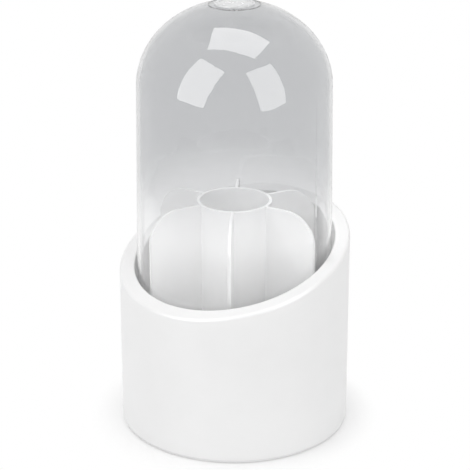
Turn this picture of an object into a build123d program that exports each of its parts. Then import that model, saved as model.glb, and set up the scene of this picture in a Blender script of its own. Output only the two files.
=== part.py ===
from build123d import *
import math
import os

os.makedirs("parts", exist_ok=True)

# A rotating makeup brush holder. A white base, cut off at a slant, holds a frosted divider
# that turns on a small ball bearing. A clear dome stands inside the rim and lifts off.
# Sizes are in millimetres. The origin is on the axis, on the surface that the holder stands
# on. +Z is up, and the low side of the slanted rim faces -Y.

# Outer shell of the base
base_top_radius = 65.0
base_draft = 0.3
base_taper_height = 103.0
shell_wall = 2.4
rim_mean_height = 102.9
rim_slope = 16.0
rim_width = 8.5
rim_thickness = 2.6
rim_round = 1.8
rim_inner_round = 0.8
sleeve_wall = 2.0

# Bottom cover, feet and the screws that clamp the base together
foot_height = 1.6
foot_proud = 0.6
foot_radius = 7.0
foot_inset = 6.3
foot_count = 4
cover_flange = 1.4
cover_plate = 2.4
cover_inset = 0.5
cover_spigot_wall = 2.0
cover_spigot_height = 4.0
cover_boss_radius = 5.5
cover_boss_height = 4.0
cover_rib_width = 1.6
cover_rib_height = 3.0
clamp_inset = 9.2
clamp_count = 4
clamp_shank = 1.5
clamp_head_radius = 2.9
clamp_head_height = 2.0
clamp_sink = 2.6
clamp_length = 12.0

# Inner liner, the cup that the divider turns in
ledge_height = 66.0
ledge_thickness = 2.4
liner_wall = 2.0
liner_floor_top = 18.5
liner_floor_thickness = 2.5
liner_post_radius = 4.5

# Turntable bearing
race_inner_radius = 20.5
race_thickness = 1.2
lower_race_radius = 38.0
upper_race_radius = 40.5
ball_radius = 2.0
ball_count = 16
ball_circle = 30.0
groove_clearance = 0.05
race_gap = 3.6
cage_half_width = 3.4
cage_thickness = 1.4
cage_pocket_clearance = 0.15
race_screw_count = 3
race_screw_shank = 1.2
race_screw_head_radius = 2.2
race_screw_head_height = 0.8
lower_screw_circle = 23.4
lower_screw_length = 5.5
lower_boss_radius = 3.2
upper_screw_circle = 37.2
upper_screw_length = 3.9

# Pivot in the middle of the turntable
pivot_shoulder_radius = 2.5
pivot_thread_radius = 2.0
pivot_head_radius = 4.5
pivot_head_height = 3.0
pivot_socket_flats = 3.0
pivot_socket_depth = 1.6
pivot_running_clearance = 0.05
bushing_wall = 1.9
bushing_flange_radius = 7.0
bushing_flange_height = 1.0
washer_thickness = 1.0
washer_gap = 0.3
nut_flats = 7.0
nut_height = 3.2
nut_boss_radius = 7.0
nut_depth = 2.0
thread_tail = 1.2

# Divider and the tray that it stands in
tray_floor = 3.2
tray_wall = 1.4
tray_wall_height = 8.0
turning_gap = 0.8
divider_top = 131.2
divider_turn = 2.4
tube_radius = 21.0
tube_wall = 1.6
fin_count = 6
fin_thickness = 1.6
fin_corner_radius = 17.8
tray_fit = 0.2
web_thickness = 2.5
web_hole_radius = 9.0
web_screw_count = 3
web_screw_circle = 13.6
web_screw_shank = 1.1
web_screw_head_radius = 2.0
web_screw_head_height = 1.2
cap_flange_radius = 11.2
cap_flange_height = 1.0
cap_wall = 1.2
cap_fit = 0.1
cap_skirt_depth = 1.6
cap_headroom = 0.8

# Dome
dome_rim_gap = 1.0
dome_taper = 2.0
dome_wall = 1.8
dome_straight_top = 197.5
dome_cap_rise = 46.0
dome_foot_round = 0.6
disc_radius = 11.0
disc_thickness = 0.9
disc_round = 0.3
disc_seat_margin = 3.0
disc_recess_radius = 8.6
disc_recess_depth = 0.3
disc_dimple_count = 24
disc_dimple_radius = 0.55
disc_dimple_circle = 9.8
disc_dimple_depth = 0.3
disc_peg_radius = 2.4
disc_peg_tail = 1.4
retainer_radius = 5.0
retainer_thickness = 0.8

# Clearances shared by the fits
screw_clearance = 0.2
thread_clearance = 0.05

# Heights and radii that follow from the sizes above
base_foot_radius = base_top_radius + base_draft
shell_bottom = foot_proud + cover_flange
rim_rise = base_top_radius * math.tan(math.radians(rim_slope))
shell_blank_top = rim_mean_height + rim_rise + rim_thickness
foot_circle = base_foot_radius - foot_inset - foot_radius
plate_top = foot_proud + cover_plate
rim_inner_radius = base_top_radius - rim_width
sleeve_outer_radius = rim_inner_radius + sleeve_wall
dome_foot_radius = rim_inner_radius - dome_rim_gap
dome_radius = dome_foot_radius - dome_taper
liner_inner_radius = dome_foot_radius - dome_wall
ledge_bottom = ledge_height - ledge_thickness
liner_outer_radius = liner_inner_radius + liner_wall
clamp_circle = liner_outer_radius - clamp_inset - liner_post_radius
liner_floor_bottom = liner_floor_top - liner_floor_thickness
post_bottom = plate_top + cover_boss_height
lower_race_top = liner_floor_top + race_thickness
upper_race_bottom = lower_race_top + race_gap
ball_height = lower_race_top + race_gap / 2
groove_radius = ball_radius + groove_clearance
tray_bottom = upper_race_bottom + race_thickness
tray_top = tray_bottom + tray_floor
tray_outer_radius = liner_inner_radius - turning_gap
tray_inner_radius = tray_outer_radius - tray_wall
fin_radius = tray_inner_radius - tray_fit
bushing_inner_radius = pivot_shoulder_radius + pivot_running_clearance
bushing_outer_radius = bushing_inner_radius + bushing_wall
washer_bottom = tray_top + bushing_flange_height + washer_gap
washer_inner_radius = pivot_shoulder_radius + screw_clearance
head_bottom = washer_bottom + washer_thickness
head_top = head_bottom + pivot_head_height
nut_boss_bottom = liner_floor_bottom - nut_height - nut_depth
nut_bottom = liner_floor_bottom - nut_height
bolt_bottom = nut_bottom - thread_tail
web_top = tray_top + web_thickness
cap_inner_radius = web_hole_radius - cap_fit - cap_wall
cap_roof = head_top + cap_headroom
dome_top = dome_straight_top + dome_cap_rise
disc_seat_radius = disc_radius + disc_seat_margin
disc_seat = dome_straight_top + dome_cap_rise * math.sqrt(1 - (disc_seat_radius / dome_radius) ** 2)
dome_inner_top = dome_straight_top + dome_cap_rise - dome_wall
retainer_top = disc_seat - dome_wall
peg_bottom = retainer_top - retainer_thickness - disc_peg_tail
clamp_head_bottom = foot_proud + clamp_sink - clamp_head_height
disc_top = disc_seat + disc_thickness


def outer_radius(height):
    """Outside radius of the base at a height: a slight taper, wider at the foot."""
    share = (height - shell_bottom) / (base_taper_height - shell_bottom)
    return base_foot_radius - base_draft * share


def radial_plane(turn):
    """Upright plane through the axis. Local x points outwards and local y points up."""
    angle = math.radians(turn)
    outwards = (math.cos(angle), math.sin(angle), 0)
    sideways = (math.sin(angle), -math.cos(angle), 0)
    return Plane(origin=(0, 0, 0), x_dir=outwards, z_dir=sideways)


def rim_plane(drop):
    """Slanted plane of the rim, lowered by drop along its own normal."""
    slope = math.radians(rim_slope)
    normal = (0, -math.sin(slope), math.cos(slope))
    origin = (0, drop * math.sin(slope), rim_mean_height - drop * math.cos(slope))
    return Plane(origin=origin, x_dir=(1, 0, 0), z_dir=normal)


# Radii that follow the shell's taper
ledge_radius = outer_radius(ledge_height) - shell_wall - screw_clearance
spigot_radius = outer_radius(shell_bottom) - shell_wall - screw_clearance


# Outer shell: a tapered wall with a folded rim and an inner sleeve, open underneath. The
# cavity is as wide as the wall leaves it up to the ledge, and lies around the sleeve above.
with BuildPart() as shell_cavity:
    with BuildSketch(Plane.XZ):
        with BuildLine():
            Polyline(
                (0, shell_bottom),
                (outer_radius(shell_bottom) - shell_wall, shell_bottom),
                (outer_radius(shell_blank_top) - shell_wall, shell_blank_top),
                (sleeve_outer_radius, shell_blank_top),
                (sleeve_outer_radius, ledge_height),
                (0, ledge_height),
                close=True,
            )
        make_face()
    revolve(axis=Axis.Z)
    split(bisect_by=rim_plane(rim_thickness), keep=Keep.BOTTOM)

with BuildPart() as outer_shell:
    with BuildSketch(Plane.XZ):
        with BuildLine():
            Polyline(
                (0, shell_bottom),
                (outer_radius(shell_bottom), shell_bottom),
                (outer_radius(shell_blank_top), shell_blank_top),
                (rim_inner_radius, shell_blank_top),
                (rim_inner_radius, ledge_height),
                (0, ledge_height),
                close=True,
            )
        make_face()
    revolve(axis=Axis.Z)
    split(bisect_by=rim_plane(0), keep=Keep.BOTTOM)
    rim_face = outer_shell.faces().sort_by(Axis.Z)[-1]
    rim_edges = rim_face.edges().sort_by(SortBy.LENGTH)
    fillet(rim_edges[-1], radius=rim_round)
    inner_edges = outer_shell.edges().filter_by(GeomType.ELLIPSE).sort_by(SortBy.LENGTH)
    fillet(inner_edges[0], radius=rim_inner_round)
    add(shell_cavity.part, mode=Mode.SUBTRACT)
outer_shell.part.label = "outer_shell"
export_step(outer_shell.part, "parts/outer_shell.step")


# Inner liner: the ledge that carries the dome, the cup wall, the floor and its bosses
with BuildPart() as inner_liner:
    with BuildSketch(Plane.XY.offset(liner_floor_bottom)):
        Circle(liner_outer_radius)
    extrude(amount=ledge_bottom - liner_floor_bottom)
    with BuildSketch(Plane.XY.offset(ledge_bottom)):
        Circle(ledge_radius)
    extrude(amount=ledge_thickness)
    with BuildSketch(Plane.XY.offset(liner_floor_top)):
        Circle(liner_inner_radius)
    extrude(amount=ledge_height - liner_floor_top, mode=Mode.SUBTRACT)
    with BuildSketch(Plane.XY.offset(nut_boss_bottom)):
        Circle(nut_boss_radius)
    extrude(amount=liner_floor_bottom - nut_boss_bottom)
    with BuildSketch(Plane.XY.offset(nut_boss_bottom)):
        RegularPolygon(radius=nut_flats / 2 + thread_clearance, side_count=6, major_radius=False)
    extrude(amount=liner_floor_bottom - nut_boss_bottom, mode=Mode.SUBTRACT)
    with BuildSketch(Plane.XY.offset(liner_floor_bottom)):
        Circle(pivot_thread_radius + screw_clearance)
    extrude(amount=liner_floor_thickness, mode=Mode.SUBTRACT)
    with BuildSketch(Plane.XY.offset(post_bottom)):
        with PolarLocations(clamp_circle, clamp_count, start_angle=180 / clamp_count):
            Circle(liner_post_radius)
    extrude(amount=liner_floor_bottom - post_bottom)
    with BuildSketch(Plane.XY.offset(post_bottom)):
        with PolarLocations(clamp_circle, clamp_count, start_angle=180 / clamp_count):
            Circle(clamp_shank + thread_clearance)
    extrude(amount=liner_floor_bottom - post_bottom, mode=Mode.SUBTRACT)
    with BuildSketch(Plane.XY.offset(liner_floor_top - lower_screw_length)):
        with PolarLocations(lower_screw_circle, race_screw_count):
            Circle(lower_boss_radius)
    extrude(amount=liner_floor_bottom - liner_floor_top + lower_screw_length)
    with BuildSketch(Plane.XY.offset(liner_floor_top - lower_screw_length)):
        with PolarLocations(lower_screw_circle, race_screw_count):
            Circle(race_screw_shank + thread_clearance)
    extrude(amount=lower_screw_length, mode=Mode.SUBTRACT)
inner_liner.part.label = "inner_liner"
export_step(inner_liner.part, "parts/inner_liner.step")


# Bottom cover: a plate with a flange under the shell, a spigot inside it, bosses and ribs
with BuildPart() as bottom_cover:
    with BuildSketch(Plane.XY.offset(foot_proud)):
        Circle(base_foot_radius - cover_inset)
    extrude(amount=cover_flange)
    with BuildSketch(Plane.XY.offset(shell_bottom)):
        Circle(spigot_radius)
    extrude(amount=cover_spigot_height)
    with BuildSketch(Plane.XY.offset(plate_top)):
        Circle(spigot_radius - cover_spigot_wall)
    extrude(amount=cover_spigot_height, mode=Mode.SUBTRACT)
    with BuildSketch(Plane.XY.offset(plate_top)):
        with PolarLocations(clamp_circle, clamp_count, start_angle=180 / clamp_count):
            Circle(cover_boss_radius)
    extrude(amount=cover_boss_height)
    with BuildSketch(Plane.XY.offset(plate_top)):
        with PolarLocations(0, 2, angular_range=180):
            Rectangle(2 * (spigot_radius - cover_spigot_wall / 2), cover_rib_width)
    extrude(amount=cover_rib_height)
    with BuildSketch(Plane.XY.offset(foot_proud)):
        with PolarLocations(clamp_circle, clamp_count, start_angle=180 / clamp_count):
            Circle(clamp_shank + screw_clearance)
    extrude(amount=post_bottom - foot_proud, mode=Mode.SUBTRACT)
    with BuildSketch(Plane.XY.offset(foot_proud)):
        with PolarLocations(clamp_circle, clamp_count, start_angle=180 / clamp_count):
            Circle(clamp_head_radius + screw_clearance)
    extrude(amount=clamp_sink, mode=Mode.SUBTRACT)
    with BuildSketch(Plane.XY.offset(foot_proud)):
        with PolarLocations(foot_circle, foot_count):
            Circle(foot_radius + thread_clearance)
    extrude(amount=foot_height - foot_proud, mode=Mode.SUBTRACT)
bottom_cover.part.label = "bottom_cover"
export_step(bottom_cover.part, "parts/bottom_cover.step")


# Rubber feet, let into the bottom cover
with BuildPart() as rubber_feet:
    with BuildSketch():
        with PolarLocations(foot_circle, foot_count):
            Circle(foot_radius)
    extrude(amount=foot_height)
rubber_feet.part.label = "rubber_feet"
export_step(rubber_feet.part, "parts/rubber_feet.step")


# Clamp screws, driven from below through the cover into the liner's posts
with BuildPart() as clamp_screws:
    with BuildSketch(Plane.XY.offset(clamp_head_bottom)):
        with PolarLocations(clamp_circle, clamp_count, start_angle=180 / clamp_count):
            Circle(clamp_head_radius)
    extrude(amount=clamp_head_height)
    with BuildSketch(Plane.XY.offset(foot_proud + clamp_sink)):
        with PolarLocations(clamp_circle, clamp_count, start_angle=180 / clamp_count):
            Circle(clamp_shank)
    extrude(amount=clamp_length)
clamp_screws.part.label = "clamp_screws"
export_step(clamp_screws.part, "parts/clamp_screws.step")


# Lower and upper bearing races: flat rings with a rolled groove for the balls
with BuildPart() as groove_ring:
    with BuildSketch(Plane.XZ):
        with Locations((ball_circle, ball_height)):
            Circle(groove_radius)
    revolve(axis=Axis.Z)

with BuildPart() as lower_race:
    with BuildSketch(Plane.XY.offset(liner_floor_top)):
        Circle(lower_race_radius)
        Circle(race_inner_radius, mode=Mode.SUBTRACT)
        with PolarLocations(lower_screw_circle, race_screw_count):
            Circle(race_screw_shank + screw_clearance, mode=Mode.SUBTRACT)
    extrude(amount=race_thickness)
    add(groove_ring.part, mode=Mode.SUBTRACT)
lower_race.part.label = "lower_race"
export_step(lower_race.part, "parts/lower_race.step")

with BuildPart() as upper_race:
    with BuildSketch(Plane.XY.offset(upper_race_bottom)):
        Circle(upper_race_radius)
        Circle(race_inner_radius, mode=Mode.SUBTRACT)
        with PolarLocations(upper_screw_circle, race_screw_count):
            Circle(race_screw_shank + screw_clearance, mode=Mode.SUBTRACT)
    extrude(amount=race_thickness)
    add(groove_ring.part, mode=Mode.SUBTRACT)
upper_race.part.label = "upper_race"
export_step(upper_race.part, "parts/upper_race.step")


# Screws of the two races: the lower ones go down into the liner, the upper ones up into the tray
with BuildPart() as lower_race_screws:
    with BuildSketch(Plane.XY.offset(lower_race_top)):
        with PolarLocations(lower_screw_circle, race_screw_count):
            Circle(race_screw_head_radius)
    extrude(amount=race_screw_head_height)
    with BuildSketch(Plane.XY.offset(lower_race_top)):
        with PolarLocations(lower_screw_circle, race_screw_count):
            Circle(race_screw_shank)
    extrude(amount=-lower_screw_length)
lower_race_screws.part.label = "lower_race_screws"
export_step(lower_race_screws.part, "parts/lower_race_screws.step")

with BuildPart() as upper_race_screws:
    with BuildSketch(Plane.XY.offset(upper_race_bottom)):
        with PolarLocations(upper_screw_circle, race_screw_count):
            Circle(race_screw_head_radius)
    extrude(amount=-race_screw_head_height)
    with BuildSketch(Plane.XY.offset(upper_race_bottom)):
        with PolarLocations(upper_screw_circle, race_screw_count):
            Circle(race_screw_shank)
    extrude(amount=upper_screw_length)
upper_race_screws.part.label = "upper_race_screws"
export_step(upper_race_screws.part, "parts/upper_race_screws.step")


# Ball cage with one pocket for each ball, and the balls
with BuildPart() as ball_cage:
    with BuildSketch(Plane.XY.offset(ball_height - cage_thickness / 2)):
        Circle(ball_circle + cage_half_width)
        Circle(ball_circle - cage_half_width, mode=Mode.SUBTRACT)
        with PolarLocations(ball_circle, ball_count):
            Circle(ball_radius + cage_pocket_clearance, mode=Mode.SUBTRACT)
    extrude(amount=cage_thickness)
ball_cage.part.label = "ball_cage"
export_step(ball_cage.part, "parts/ball_cage.step")

with BuildPart() as bearing_balls:
    for spot in PolarLocations(ball_circle, ball_count):
        with Locations((spot.position.X, spot.position.Y, ball_height)):
            Sphere(ball_radius)
bearing_balls.part.label = "bearing_balls"
export_step(bearing_balls.part, "parts/bearing_balls.step")


# Pivot: shoulder bolt and its nut, a washer under the head, and a bushing in the tray
with BuildPart() as pivot_bolt:
    with BuildSketch(Plane.XY.offset(bolt_bottom)):
        Circle(pivot_thread_radius)
    extrude(amount=liner_floor_top - bolt_bottom)
    with BuildSketch(Plane.XY.offset(liner_floor_top)):
        Circle(pivot_shoulder_radius)
    extrude(amount=head_bottom - liner_floor_top)
    with BuildSketch(Plane.XY.offset(head_bottom)):
        Circle(pivot_head_radius)
    extrude(amount=pivot_head_height)
    with BuildSketch(Plane.XY.offset(head_top - pivot_socket_depth)):
        RegularPolygon(radius=pivot_socket_flats / 2, side_count=6, major_radius=False)
    extrude(amount=pivot_socket_depth, mode=Mode.SUBTRACT)
pivot_bolt.part.label = "pivot_bolt"
export_step(pivot_bolt.part, "parts/pivot_bolt.step")

with BuildPart() as pivot_nut:
    with BuildSketch(Plane.XY.offset(nut_bottom)):
        RegularPolygon(radius=nut_flats / 2, side_count=6, major_radius=False)
        Circle(pivot_thread_radius + thread_clearance, mode=Mode.SUBTRACT)
    extrude(amount=nut_height)
pivot_nut.part.label = "pivot_nut"
export_step(pivot_nut.part, "parts/pivot_nut.step")

with BuildPart() as pivot_washer:
    with BuildSketch(Plane.XY.offset(washer_bottom)):
        Circle(bushing_flange_radius)
        Circle(washer_inner_radius, mode=Mode.SUBTRACT)
    extrude(amount=washer_thickness)
pivot_washer.part.label = "pivot_washer"
export_step(pivot_washer.part, "parts/pivot_washer.step")

with BuildPart() as pivot_bushing:
    with BuildSketch(Plane.XY.offset(tray_bottom)):
        Circle(bushing_outer_radius)
    extrude(amount=tray_floor)
    with BuildSketch(Plane.XY.offset(tray_top)):
        Circle(bushing_flange_radius)
    extrude(amount=bushing_flange_height)
    with BuildSketch(Plane.XY.offset(tray_bottom)):
        Circle(bushing_inner_radius)
    extrude(amount=tray_floor + bushing_flange_height, mode=Mode.SUBTRACT)
pivot_bushing.part.label = "pivot_bushing"
export_step(pivot_bushing.part, "parts/pivot_bushing.step")


# Insert tray: the turning floor with a low wall, drilled for the bushing and the screws
with BuildPart() as insert_tray:
    with BuildSketch(Plane.XY.offset(tray_bottom)):
        Circle(tray_outer_radius)
    extrude(amount=tray_floor + tray_wall_height)
    with BuildSketch(Plane.XY.offset(tray_top)):
        Circle(tray_inner_radius)
    extrude(amount=tray_wall_height, mode=Mode.SUBTRACT)
    with BuildSketch(Plane.XY.offset(tray_bottom)):
        Circle(bushing_outer_radius + thread_clearance)
        with PolarLocations(web_screw_circle, web_screw_count, start_angle=divider_turn):
            Circle(web_screw_shank + screw_clearance)
    extrude(amount=tray_floor, mode=Mode.SUBTRACT)
    with BuildSketch(Plane.XY.offset(tray_bottom)):
        with PolarLocations(web_screw_circle, web_screw_count, start_angle=divider_turn):
            Circle(web_screw_head_radius + screw_clearance)
    extrude(amount=web_screw_head_height, mode=Mode.SUBTRACT)
    with BuildSketch(Plane.XY.offset(tray_bottom)):
        with PolarLocations(upper_screw_circle, race_screw_count):
            Circle(race_screw_shank + thread_clearance)
    extrude(amount=upper_screw_length - race_thickness, mode=Mode.SUBTRACT)
insert_tray.part.label = "insert_tray"
export_step(insert_tray.part, "parts/insert_tray.step")


# Divider: a central tube with upright fins, each with a rounded outer corner
with BuildPart() as divider:
    for index in range(fin_count):
        with BuildSketch(radial_plane(divider_turn + index * 360 / fin_count)):
            with BuildLine():
                Line((0, tray_top), (fin_radius, tray_top))
                Line((fin_radius, tray_top), (fin_radius, divider_top - fin_corner_radius))
                CenterArc(
                    (fin_radius - fin_corner_radius, divider_top - fin_corner_radius),
                    fin_corner_radius,
                    0,
                    90,
                )
                Line((fin_radius - fin_corner_radius, divider_top), (0, divider_top))
                Line((0, divider_top), (0, tray_top))
            make_face()
        extrude(amount=fin_thickness / 2, both=True)
    with BuildSketch(Plane.XY.offset(tray_top)):
        Circle(tube_radius)
    extrude(amount=divider_top - tray_top)
    with BuildSketch(Plane.XY.offset(web_top)):
        Circle(tube_radius - tube_wall)
    extrude(amount=divider_top - web_top, mode=Mode.SUBTRACT)
    with BuildSketch(Plane.XY.offset(tray_top)):
        Circle(web_hole_radius)
        with PolarLocations(web_screw_circle, web_screw_count, start_angle=divider_turn):
            Circle(web_screw_shank + thread_clearance)
    extrude(amount=web_thickness, mode=Mode.SUBTRACT)
divider.part.label = "divider"
export_step(divider.part, "parts/divider.step")

with BuildPart() as divider_screws:
    with BuildSketch(Plane.XY.offset(tray_bottom)):
        with PolarLocations(web_screw_circle, web_screw_count, start_angle=divider_turn):
            Circle(web_screw_head_radius)
    extrude(amount=web_screw_head_height)
    with BuildSketch(Plane.XY.offset(tray_bottom + web_screw_head_height)):
        with PolarLocations(web_screw_circle, web_screw_count, start_angle=divider_turn):
            Circle(web_screw_shank)
    extrude(amount=web_top - tray_bottom - web_screw_head_height)
divider_screws.part.label = "divider_screws"
export_step(divider_screws.part, "parts/divider_screws.step")


# Hub cap: hides the pivot at the bottom of the tube
with BuildPart() as hub_cap:
    with BuildSketch(Plane.XZ):
        with BuildLine():
            Polyline(
                (cap_inner_radius, web_top - cap_skirt_depth),
                (cap_inner_radius + cap_wall, web_top - cap_skirt_depth),
                (cap_inner_radius + cap_wall, web_top),
                (cap_flange_radius, web_top),
                (cap_flange_radius, web_top + cap_flange_height),
                (cap_inner_radius + cap_wall, web_top + cap_flange_height),
                (cap_inner_radius + cap_wall, cap_roof + cap_wall),
                (0, cap_roof + cap_wall),
                (0, cap_roof),
                (cap_inner_radius, cap_roof),
                close=True,
            )
        make_face()
    revolve(axis=Axis.Z)
hub_cap.part.label = "hub_cap"
export_step(hub_cap.part, "parts/hub_cap.step")


# Dome: a straight skirt with a slight taper, closed by a cap with a flat crown as thick as the wall
with BuildPart() as dome:
    with BuildSketch(Plane.XZ):
        with BuildLine():
            Line((0, ledge_height), (dome_foot_radius, ledge_height))
            Line((dome_foot_radius, ledge_height), (dome_radius, dome_straight_top))
            EllipticalCenterArc((0, dome_straight_top), dome_radius, dome_cap_rise, 0, arc_size=90)
            Line((0, dome_top), (0, ledge_height))
        make_face()
        with BuildLine():
            Line((0, ledge_height), (dome_foot_radius - dome_wall, ledge_height))
            Line(
                (dome_foot_radius - dome_wall, ledge_height),
                (dome_radius - dome_wall, dome_straight_top),
            )
            EllipticalCenterArc(
                (0, dome_straight_top),
                dome_radius - dome_wall,
                dome_cap_rise - dome_wall,
                0,
                arc_size=90,
            )
            Line((0, dome_inner_top), (0, ledge_height))
        make_face(mode=Mode.SUBTRACT)
    revolve(axis=Axis.Z)
    foot_edges = dome.edges().filter_by(GeomType.CIRCLE).group_by(Axis.Z)[0]
    fillet(foot_edges, radius=dome_foot_round)
    with BuildSketch(Plane.XY.offset(retainer_top)):
        Circle(disc_seat_radius)
    extrude(amount=dome_wall)
    with BuildSketch(Plane.XY.offset(disc_seat)):
        Circle(disc_seat_radius)
    extrude(amount=dome_top - disc_seat, mode=Mode.SUBTRACT)
    with BuildSketch(Plane.XY.offset(peg_bottom)):
        Circle(disc_peg_radius + thread_clearance)
    extrude(amount=dome_top - peg_bottom, mode=Mode.SUBTRACT)
dome.part.label = "dome"
export_step(dome.part, "parts/dome.step")


# Top disc: the small round pad on the crown, pegged through the dome and held by a clip ring
with BuildPart() as top_disc:
    with BuildSketch(Plane.XY.offset(disc_seat)):
        Circle(disc_radius)
    extrude(amount=disc_thickness)
    fillet(top_disc.edges().group_by(Axis.Z)[-1], radius=disc_round)
    with BuildSketch(Plane.XY.offset(disc_top - disc_recess_depth)):
        Circle(disc_recess_radius)
    extrude(amount=disc_recess_depth, mode=Mode.SUBTRACT)
    with BuildSketch(Plane.XY.offset(disc_top - disc_dimple_depth)):
        with PolarLocations(disc_dimple_circle, disc_dimple_count):
            Circle(disc_dimple_radius)
    extrude(amount=disc_dimple_depth, mode=Mode.SUBTRACT)
    with BuildSketch(Plane.XY.offset(peg_bottom)):
        Circle(disc_peg_radius)
    extrude(amount=disc_seat - peg_bottom)
top_disc.part.label = "top_disc"
export_step(top_disc.part, "parts/top_disc.step")

with BuildPart() as disc_clip:
    with BuildSketch(Plane.XY.offset(retainer_top - retainer_thickness)):
        Circle(retainer_radius)
        Circle(disc_peg_radius + thread_clearance, mode=Mode.SUBTRACT)
    extrude(amount=retainer_thickness)
disc_clip.part.label = "disc_clip"
export_step(disc_clip.part, "parts/disc_clip.step")
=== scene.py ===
import math

import bpy
from mathutils import Matrix, Vector


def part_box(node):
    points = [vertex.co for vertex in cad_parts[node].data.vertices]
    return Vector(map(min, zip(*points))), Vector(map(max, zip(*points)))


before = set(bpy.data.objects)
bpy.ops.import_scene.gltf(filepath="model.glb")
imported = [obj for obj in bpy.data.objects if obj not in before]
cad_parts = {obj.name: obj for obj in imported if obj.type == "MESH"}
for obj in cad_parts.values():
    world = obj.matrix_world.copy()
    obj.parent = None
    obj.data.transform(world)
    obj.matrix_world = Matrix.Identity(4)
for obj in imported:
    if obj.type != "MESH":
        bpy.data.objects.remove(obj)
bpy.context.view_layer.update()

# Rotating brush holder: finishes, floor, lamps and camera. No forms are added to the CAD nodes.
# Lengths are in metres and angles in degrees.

# Camera, measured in the photograph
CAMERA_AZIMUTH = 35.5
CAMERA_ELEVATION = 20.95
CAMERA_DISTANCE = 0.900
CAMERA_LENS = 122.4
SENSOR_WIDTH = 36.0
CLIP_START = 0.01
CLIP_END = 50.0
AIM_HEIGHT = 0.10974
AIM_ASIDE = 0.00028

# Directions: up, and level from the object's axis towards the camera and to the camera's right
UP = Vector((0.0, 0.0, 1.0))
TO_CAMERA = Vector(
    (math.sin(math.radians(CAMERA_AZIMUTH)), -math.cos(math.radians(CAMERA_AZIMUTH)), 0.0)
)
TO_RIGHT = Vector(
    (math.cos(math.radians(CAMERA_AZIMUTH)), math.sin(math.radians(CAMERA_AZIMUTH)), 0.0)
)

# Floor: lit, with plain white mixed in where it is seen. The plain white's share rises from
# FLOOR_WHITE_NEAR at FADE_START from the axis, which keeps the shadow, to 1 at FADE_END.
FLOOR_RADIUS = 6.0
FLOOR_SIDES = 96
FLOOR_WHITE = (0.90, 0.90, 0.90)
FLOOR_ROUGHNESS = 0.12
FLOOR_IOR = 1.4
FLOOR_WHITE_NEAR = 0.4
FADE_START = 0.064
FADE_END = 0.085

# World: its light on everything, and the white that is seen in its place
AMBIENT_STRENGTH = 0.74
WHITE_STRENGTH = 1.0

# Lamps: softboxes face a point on the axis, and their gleams stand nearer by a gap
LAMP_PIVOT = Vector((0.0, 0.0, 0.18))
GLEAM_GAP = 0.003
SPOT_DISTANCE = 0.80
SPOT_RADIUS = 0.02

# Colours of the finishes
SHELL_WHITE = (0.85, 0.85, 0.85)
LINER_WHITE = (0.95, 0.95, 0.95)
COVER_WHITE = (0.77, 0.77, 0.77)
TRAY_WHITE = (0.96, 0.96, 0.96)
FROST_WHITE = (0.97, 0.97, 0.97)
# Fins' outer edges: painted shade, darker than the rest to tone down the light they catch
FROST_EDGE_SHADE = (0.85, 0.85, 0.85)
DISC_WHITE = (0.80, 0.805, 0.81)
RUBBER_GREY = (0.56, 0.56, 0.57)
CAGE_CREAM = (0.74, 0.74, 0.71)
BUSH_CREAM = (0.80, 0.80, 0.77)
ZINC_GREY = (0.62, 0.62, 0.63)
BOLT_GREY = (0.56, 0.56, 0.58)
BALL_GREY = (0.75, 0.75, 0.77)

# Dome: its tint on the face and where the wall is seen edge on, fading to clear lower down, which
# is painted light that lifts the shaded inside seen through the lower wall
DOME_TINT = (0.715, 0.720, 0.729)
DOME_EDGE_TINT = (0.52, 0.526, 0.534)
DOME_CLEAR = (0.97, 0.972, 0.975)
DOME_LIGHTENED_BELOW = 0.118
DOME_TINT_ABOVE = 0.157
EDGE_BLEND = 0.25
EDGE_START = 0.35
EDGE_END = 0.95
LIGHT_THROUGH = 0.98

# Plastics, and the noise behind mottling and grain
PLASTIC_IOR = 1.49
MILKY_TRANSMISSION = 0.2
FROST_SUBSURFACE = 0.3
FROST_DEPTH = 0.002
# Width of the painted shade along the fins' outer edges
FROST_EDGE_WIDTH = 0.0012
MOTTLE_START = 0.32
MOTTLE_END = 0.68
MOTTLE_DETAIL = 3.0
MOTTLE_ROUGHNESS = 0.55
GRAIN_DETAIL = 2.0
GRAIN_ROUGHNESS = 0.5


def rgba(colour, factor=1.0):
    return tuple(min(1.0, part * factor) for part in colour) + (1.0,)


def grey(level):
    return (level, level, level, 1.0)


def add(tree, kind, **settings):
    """A node of that kind. A setting is one of its sockets, by name with _ for spaces, or else a
    property. A socket of another node as its value is linked to it."""
    node = tree.nodes.new(kind)
    for key, value in settings.items():
        name = key.replace("_", " ")
        if name not in node.inputs:
            setattr(node, key, value)
        elif isinstance(value, bpy.types.NodeSocket):
            tree.links.new(value, node.inputs[name])
        else:
            node.inputs[name].default_value = value
    return node


def combined(tree, operation, first, second):
    """Two values, combined by a Math operation."""
    node = add(tree, "ShaderNodeMath", operation=operation)
    tree.links.new(first, node.inputs[0])
    tree.links.new(second, node.inputs[1])
    return node.outputs["Value"]


def shader_mix(tree, factor, first, second):
    """The first shader where factor is 0, and the second where it is 1."""
    node = add(tree, "ShaderNodeMixShader", Fac=factor)
    tree.links.new(first, node.inputs[1])
    tree.links.new(second, node.inputs[2])
    return node.outputs["Shader"]


def colour_mix(tree, factor, first, second):
    """The first colour where factor is 0, and the second where it is 1."""
    node = add(tree, "ShaderNodeMix", data_type="RGBA", Factor=factor, A=first, B=second)
    return node.outputs["Result"]


def colour_ramp(tree, factor, start, start_colour, end, end_colour):
    """One colour up to start, another from end on, and an even change between them."""
    node = add(tree, "ShaderNodeValToRGB", Fac=factor)
    first, last = node.color_ramp.elements
    first.position, first.color = start, start_colour
    last.position, last.color = end, end_colour
    return node.outputs["Color"]


def smooth_step(tree, value, start, end, low=0.0):
    """Low up to start, 1 from end on, and a smooth change between them."""
    node = add(
        tree, "ShaderNodeMapRange", interpolation_type="SMOOTHSTEP",
        Value=value, From_Min=start, From_Max=end, To_Min=low,
    )
    return node.outputs["Result"]


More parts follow.
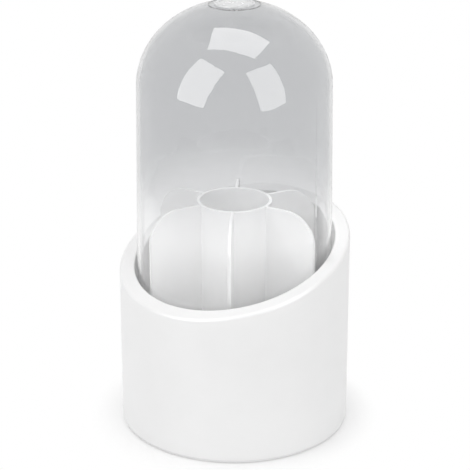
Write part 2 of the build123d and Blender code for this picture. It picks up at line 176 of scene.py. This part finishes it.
def distance_from_axis(tree, place):
    """How far a point is from the upright axis."""
    level = add(tree, "ShaderNodeVectorMath", operation="MULTIPLY")
    tree.links.new(place, level.inputs[0])
    level.inputs[1].default_value = (1.0, 1.0, 0.0)
    length = add(tree, "ShaderNodeVectorMath", operation="LENGTH")
    tree.links.new(level.outputs["Vector"], length.inputs[0])
    return length.outputs["Value"]


def mottled(tree, place, scale, low, high):
    """A colour or grey that drifts between two close values, with scale marks per metre."""
    noise = add(
        tree, "ShaderNodeTexNoise",
        Vector=place, Scale=scale, Detail=MOTTLE_DETAIL, Roughness=MOTTLE_ROUGHNESS,
    )
    return colour_ramp(tree, noise.outputs["Fac"], MOTTLE_START, low, MOTTLE_END, high)


def grain_bump(tree, place, scale, depth, strength, below=None):
    """Grain or waviness over that of below, with scale grains per metre."""
    noise = add(
        tree, "ShaderNodeTexNoise",
        Vector=place, Scale=scale, Detail=GRAIN_DETAIL, Roughness=GRAIN_ROUGHNESS,
    )
    bump = add(
        tree, "ShaderNodeBump", Strength=strength, Distance=depth, Height=noise.outputs["Fac"]
    )
    if below is not None:
        tree.links.new(below, bump.inputs["Normal"])
    return bump.outputs["Normal"]


def blank_material(name):
    """An empty material, with its node tree, its object coordinates and its surface's socket."""
    material = bpy.data.materials.new(name)
    material.use_nodes = True
    tree = material.node_tree
    tree.nodes.clear()
    output = tree.nodes.new("ShaderNodeOutputMaterial")
    place = add(tree, "ShaderNodeTexCoord").outputs["Object"]
    return material, tree, place, output.inputs["Surface"]


def principled(tree, **settings):
    """A Principled shader, with what drives its sockets."""
    return add(tree, "ShaderNodeBsdfPrincipled", **settings).outputs["BSDF"]


def moulded(name, colour, roughness, grain=1400.0, depth=0.00002, spread=0.015):
    """Injection-moulded plastic: faint flow marks in the colour, uneven gloss, and fine grain
    over a slow waviness."""
    material, tree, place, surface = blank_material(name)
    tint = mottled(
        tree, place, scale=22.0, low=rgba(colour, 1.0 - spread), high=rgba(colour, 1.0 + spread)
    )
    gloss = mottled(
        tree, place, scale=60.0, low=grey(roughness - 0.03), high=grey(roughness + 0.04)
    )
    waves = grain_bump(tree, place, scale=35.0, depth=0.0002, strength=0.06)
    fine = grain_bump(tree, place, scale=grain, depth=depth, strength=0.35, below=waves)
    shader = principled(tree, IOR=PLASTIC_IOR, Base_Color=tint, Roughness=gloss, Normal=fine)
    tree.links.new(shader, surface)
    return material


def frosted(name, colour, edge_shade_colour, roughness):
    """Frosted milky plastic: light spreads inside it. Its colour is darker along the fins' outer
    edges, a painted shade that tones down the light those edges catch."""
    material, tree, place, surface = blank_material(name)
    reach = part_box("divider")[1].x
    # Painted shade: a band along the fins' outer edges gets a darker colour
    edge = smooth_step(
        tree, distance_from_axis(tree, place), start=reach - FROST_EDGE_WIDTH, end=reach
    )
    cloud = mottled(tree, place, scale=30.0, low=rgba(colour, 0.985), high=rgba(colour, 1.01))
    gloss = mottled(
        tree, place, scale=80.0, low=grey(roughness - 0.04), high=grey(roughness + 0.05)
    )
    fine = grain_bump(tree, place, scale=1800.0, depth=0.00003, strength=0.4)
    shader = principled(
        tree, IOR=PLASTIC_IOR, Subsurface_Weight=FROST_SUBSURFACE,
        Subsurface_Radius=(FROST_DEPTH, FROST_DEPTH, FROST_DEPTH), Subsurface_Scale=1.0,
        Base_Color=colour_mix(tree, edge, cloud, rgba(edge_shade_colour)),
        Roughness=gloss, Normal=fine,
    )
    tree.links.new(shader, surface)
    return material


def milky(name, colour, roughness):
    """Milky plastic that lets a little light through, cloudy inside and smooth outside."""
    material, tree, place, surface = blank_material(name)
    cloud = mottled(tree, place, scale=150.0, low=rgba(colour, 0.97), high=rgba(colour, 1.03))
    gloss = mottled(
        tree, place, scale=300.0, low=grey(roughness * 0.7), high=grey(roughness * 1.3)
    )
    shader = principled(
        tree, IOR=PLASTIC_IOR, Transmission_Weight=MILKY_TRANSMISSION,
        Base_Color=cloud, Roughness=gloss,
    )
    tree.links.new(shader, surface)
    return material


def steel(name, colour, roughness):
    """Plated or polished steel, with fine grain and small changes in its colour and gloss."""
    material, tree, place, surface = blank_material(name)
    tint = mottled(tree, place, scale=180.0, low=rgba(colour, 0.94), high=rgba(colour, 1.06))
    gloss = mottled(
        tree, place, scale=500.0, low=grey(roughness * 0.8), high=grey(roughness * 1.3)
    )
    fine = grain_bump(tree, place, scale=2600.0, depth=0.00001, strength=0.25)
    shader = principled(tree, Metallic=1.0, Base_Color=tint, Roughness=gloss, Normal=fine)
    tree.links.new(shader, surface)
    return material


def clear_plastic(name, tint, edge_tint, roughness):
    """Clear plastic with a tint, stronger where the wall is seen edge on. Lower down the tint
    fades to clear, a painted light that lifts the shaded parts seen through it.
    The lamps' light goes straight through it."""
    material, tree, place, surface = blank_material(name)
    facing = add(tree, "ShaderNodeLayerWeight", Blend=EDGE_BLEND).outputs["Facing"]
    tinted = colour_ramp(tree, facing, EDGE_START, rgba(tint), EDGE_END, rgba(edge_tint))
    height = add(tree, "ShaderNodeSeparateXYZ", Vector=place).outputs["Z"]
    # Painted light: the tint fades out lower down, so the shaded inside seen through the lower
    # wall reads lighter
    fade = smooth_step(tree, height, start=DOME_LIGHTENED_BELOW, end=DOME_TINT_ABOVE)
    gloss = mottled(
        tree, place, scale=90.0, low=grey(roughness * 0.5), high=grey(roughness * 1.5)
    )
    waves = grain_bump(tree, place, scale=30.0, depth=0.0002, strength=0.03)
    glass = principled(
        tree, IOR=PLASTIC_IOR, Transmission_Weight=1.0,
        Base_Color=colour_mix(tree, fade, rgba(DOME_CLEAR), tinted),
        Roughness=gloss, Normal=waves,
    )
    through = add(tree, "ShaderNodeBsdfTransparent", Color=grey(LIGHT_THROUGH)).outputs["BSDF"]
    path = tree.nodes.new("ShaderNodeLightPath").outputs
    lit = combined(tree, "MAXIMUM", path["Is Shadow Ray"], path["Is Diffuse Ray"])
    tree.links.new(shader_mix(tree, lit, glass, through), surface)
    return material


def dress(material, *names):
    """Gives CAD nodes their material."""
    for name in names:
        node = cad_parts[name]
        node.data.materials.clear()
        node.data.materials.append(material)


def dress_all():
    dress(moulded("shell_plastic", SHELL_WHITE, roughness=0.36), "outer_shell")
    dress(moulded("liner_plastic", LINER_WHITE, roughness=0.42), "inner_liner")
    cover = moulded("cover_plastic", COVER_WHITE, roughness=0.5, grain=900.0, depth=0.00005)
    dress(cover, "bottom_cover")
    dress(moulded("tray_plastic", TRAY_WHITE, roughness=0.42), "insert_tray", "hub_cap")
    dress(frosted("frosted_plastic", FROST_WHITE, FROST_EDGE_SHADE, roughness=0.42), "divider")
    dress(moulded("cage_acetal", CAGE_CREAM, roughness=0.5), "ball_cage")
    dress(moulded("bush_acetal", BUSH_CREAM, roughness=0.4), "pivot_bushing")
    rubber = moulded(
        "foot_rubber", RUBBER_GREY, roughness=0.75, grain=700.0, depth=0.00008, spread=0.05
    )
    dress(rubber, "rubber_feet")
    dress(steel("race_zinc", ZINC_GREY, roughness=0.32), "lower_race", "upper_race")
    dress(
        steel("screw_zinc", ZINC_GREY, roughness=0.28),
        "clamp_screws", "lower_race_screws", "upper_race_screws", "divider_screws",
    )
    bolt = steel("bolt_zinc", BOLT_GREY, roughness=0.3)
    dress(bolt, "pivot_bolt", "pivot_nut", "pivot_washer")
    dress(steel("ball_steel", BALL_GREY, roughness=0.08), "bearing_balls")
    dress(clear_plastic("dome_plastic", DOME_TINT, DOME_EDGE_TINT, roughness=0.02), "dome")
    dress(milky("disc_plastic", DISC_WHITE, roughness=0.22), "top_disc", "disc_clip")


def seen_rays(tree):
    """1 for the camera's rays and what is mirrored or seen through, 0 for the light itself."""
    path = tree.nodes.new("ShaderNodeLightPath").outputs
    direct = combined(tree, "MAXIMUM", path["Is Camera Ray"], path["Is Glossy Ray"])
    return combined(tree, "MAXIMUM", direct, path["Is Transmission Ray"])


def studio_floor():
    """A round white floor with a soft gloss, which keeps the shadow near the object."""
    bpy.ops.mesh.primitive_circle_add(
        vertices=FLOOR_SIDES, radius=FLOOR_RADIUS, fill_type="NGON"
    )
    floor = bpy.context.object
    floor.name = "studio_floor"
    material, tree, place, surface = blank_material("floor_white")
    plain = principled(
        tree, Base_Color=rgba(FLOOR_WHITE), Roughness=FLOOR_ROUGHNESS, IOR=FLOOR_IOR
    )
    white = add(tree, "ShaderNodeEmission", Color=grey(1.0), Strength=WHITE_STRENGTH)
    fade = smooth_step(
        tree, distance_from_axis(tree, place), FADE_START, FADE_END, low=FLOOR_WHITE_NEAR
    )
    share = combined(tree, "MULTIPLY", seen_rays(tree), fade)
    tree.links.new(shader_mix(tree, share, plain, white.outputs["Emission"]), surface)
    floor.data.materials.append(material)


def studio_world():
    """White where it is seen, as seen_rays says, and a softer light on everything."""
    world = bpy.data.worlds.new("studio")
    bpy.context.scene.world = world
    world.use_nodes = True
    tree = world.node_tree
    tree.nodes.clear()
    output = tree.nodes.new("ShaderNodeOutputWorld")
    light = add(tree, "ShaderNodeBackground", Color=grey(1.0), Strength=AMBIENT_STRENGTH)
    white = add(tree, "ShaderNodeBackground", Color=grey(1.0), Strength=WHITE_STRENGTH)
    mix = shader_mix(
        tree, seen_rays(tree), light.outputs["Background"], white.outputs["Background"]
    )
    tree.links.new(mix, output.inputs["Surface"])


def direction_to(azimuth, elevation):
    """Unit vector. The azimuth is counted from the camera, positive to its right."""
    a = math.radians(azimuth)
    e = math.radians(elevation)
    return (TO_CAMERA * math.cos(a) + TO_RIGHT * math.sin(a)) * math.cos(e) + UP * math.sin(e)


def facing_from(direction):
    """Turn of a lamp or camera that stands in that direction and looks back along it."""
    return (-direction).to_track_quat("-Z", "Y")


def new_object(name, data):
    """Puts a lamp or camera in the scene, turned by quaternion."""
    item = bpy.data.objects.new(name, data)
    bpy.context.collection.objects.link(item)
    item.rotation_mode = "QUATERNION"
    return item


def panel(name, spot, turn, width, height, radiance, lights, gleams):
    """One rectangular lamp. It lights the object, gleams in what is glossy, or both."""
    data = bpy.data.lights.new(name, "AREA")
    data.shape = "RECTANGLE"
    data.size = width
    data.size_y = height
    data.energy = radiance * width * height * math.pi
    lamp = new_object(name, data)
    lamp.matrix_world = Matrix.Translation(spot) @ turn
    lamp.visible_camera = False
    lamp.visible_transmission = False
    lamp.visible_diffuse = lights
    lamp.visible_glossy = gleams


def softbox(name, azimuth, elevation, distance, width, height, roll, light, gleam=0.0):
    """A softbox that faces the dome. With a gleam, the dome mirrors it as in the photograph."""
    direction = direction_to(azimuth, elevation)
    roll_turn = Matrix.Rotation(math.radians(roll), 4, "Z")
    turn = facing_from(direction).to_matrix().to_4x4() @ roll_turn
    spot = LAMP_PIVOT + direction * distance
    panel(name + "_light", spot, turn, width, height, light, lights=True, gleams=False)
    if gleam:
        nearer = spot - direction * GLEAM_GAP
        panel(name + "_gleam", nearer, turn, width, height, gleam, lights=False, gleams=True)


def narrow_spot(name, azimuth, elevation, aside, height, reach, blend, power):
    """A soft spot at a point on the axis, moved to the camera's right by aside. Its disc of light
    has the radius reach there."""
    direction = direction_to(azimuth, elevation)
    data = bpy.data.lights.new(name, "SPOT")
    data.shadow_soft_size = SPOT_RADIUS
    data.spot_size = 2 * math.atan(reach / SPOT_DISTANCE)
    data.spot_blend = blend
    data.energy = power
    lamp = new_object(name, data)
    lamp.location = TO_RIGHT * aside + UP * height + direction * SPOT_DISTANCE
    lamp.rotation_quaternion = facing_from(direction)
    lamp.visible_camera = False
    lamp.visible_transmission = False
    lamp.visible_glossy = False


def studio_lamps():
    softbox(
        "left", azimuth=-44.0, elevation=21.3, distance=0.633,
        width=0.415, height=0.70, roll=-13.5, light=0.54, gleam=5.8,
    )
    softbox(
        "right", azimuth=39.8, elevation=17.0, distance=0.683,
        width=0.408, height=0.72, roll=7.5, light=0.76, gleam=4.9,
    )
    softbox(
        "top", azimuth=30.4, elevation=84.3, distance=0.684,
        width=0.392, height=0.595, roll=42.0, light=0.9, gleam=5.7,
    )
    softbox(
        "fill", azimuth=-75.0, elevation=50.0, distance=0.70,
        width=0.40, height=0.40, roll=0.0, light=1.5,
    )
    narrow_spot(
        "front_spot", azimuth=0.0, elevation=42.0, aside=0.0, height=0.094,
        reach=0.052, blend=0.7, power=3.2,
    )
    narrow_spot(
        "back_spot", azimuth=9.0, elevation=36.0, aside=0.011, height=0.155,
        reach=0.035, blend=0.5, power=4.5,
    )
    narrow_spot(
        "side_spot", azimuth=-95.0, elevation=52.0, aside=0.045, height=0.105,
        reach=0.036, blend=0.6, power=7.0,
    )


def studio_camera():
    data = bpy.data.cameras.new("camera")
    data.sensor_width = SENSOR_WIDTH
    data.lens = CAMERA_LENS
    data.clip_start = CLIP_START
    data.clip_end = CLIP_END
    camera = new_object("camera", data)
    back = direction_to(0.0, CAMERA_ELEVATION)
    camera.location = UP * AIM_HEIGHT + TO_RIGHT * AIM_ASIDE + back * CAMERA_DISTANCE
    camera.rotation_quaternion = facing_from(back)
    bpy.context.scene.camera = camera


dress_all()
studio_floor()
studio_world()
studio_lamps()
studio_camera()
bpy.context.scene.view_settings.view_transform = "Standard"

bpy.context.view_layer.update()
